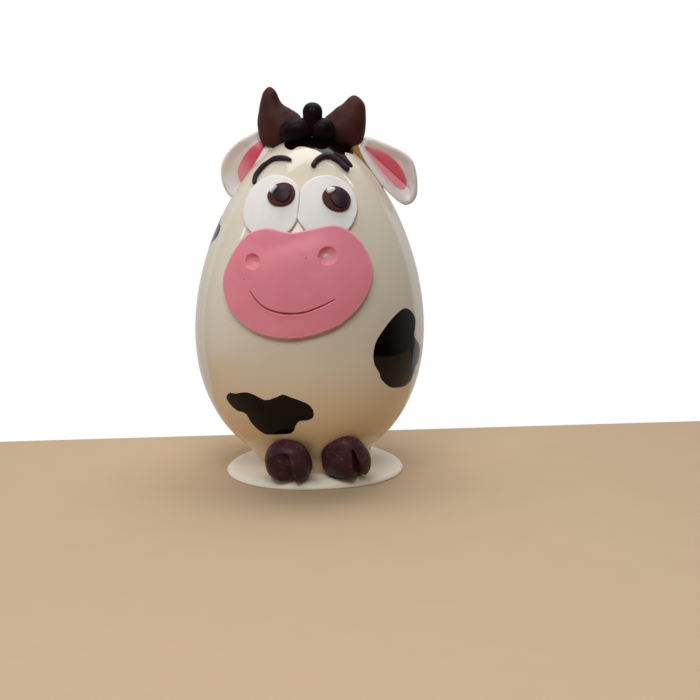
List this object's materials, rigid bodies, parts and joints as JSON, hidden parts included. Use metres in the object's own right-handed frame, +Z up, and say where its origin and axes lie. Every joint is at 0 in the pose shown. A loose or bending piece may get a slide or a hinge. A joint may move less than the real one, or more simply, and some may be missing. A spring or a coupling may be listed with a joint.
{
  "type": "chocolate egg",
  "caption": "Standing white chocolate Easter egg dressed as a cow, with horns, ears, eyes, muzzle and hooves of modelling paste, on a poured foot.",
  "frame": {"origin": "centre of the egg's axis on the flat underside of the poured foot, which rests on the table", "axes": "+Z up along the egg's axis, -Y the way the cow looks, +X to the cow's left"},
  "size_m": [0.15, 0.1533, 0.2506],
  "materials": {
    "white_chocolate": "glossy moulded white chocolate, cream",
    "poured_chocolate": "poured white chocolate, satin, slightly grey-cream",
    "dark_chocolate": "glossy dark chocolate, almost black",
    "pink_paste": "rolled pink sugar paste, satin",
    "rose_paste": "deep rose sugar paste, satin",
    "white_paste": "rolled white sugar paste, matt",
    "iris_paste": "reddish brown modelling paste, satin",
    "dark_paste": "dark aubergine modelling paste, satin",
    "horn_paste": "brown modelling paste, satin",
    "hoof_paste": "purple-brown modelling paste, satin, mottled"
  },
  "bodies": {
    "root": {"egg_shell": "white_chocolate", "foot": "poured_chocolate", "marking_front": "dark_chocolate", "marking_left": "dark_chocolate", "marking_right": "dark_chocolate", "marking_back": "dark_chocolate", "marking_crown": "dark_chocolate", "muzzle": "pink_paste", "eye_white_right": "white_paste", "eye_white_left": "white_paste", "iris_right": "iris_paste", "iris_left": "iris_paste", "pupil_right": "dark_paste", "pupil_left": "dark_paste", "glint_right": "white_paste", "glint_left": "white_paste", "brow_right": "dark_paste", "brow_left": "dark_paste", "hoof_right": "hoof_paste", "hoof_left": "hoof_paste", "tuft_right": "dark_paste", "tuft_left": "dark_paste", "tuft_top": "dark_paste", "horn_right": "horn_paste", "horn_left": "horn_paste", "ear_right": "white_paste", "ear_right_lining": "rose_paste", "ear_left": "white_paste", "ear_left_lining": "rose_paste"}
  },
  "joints": []
}
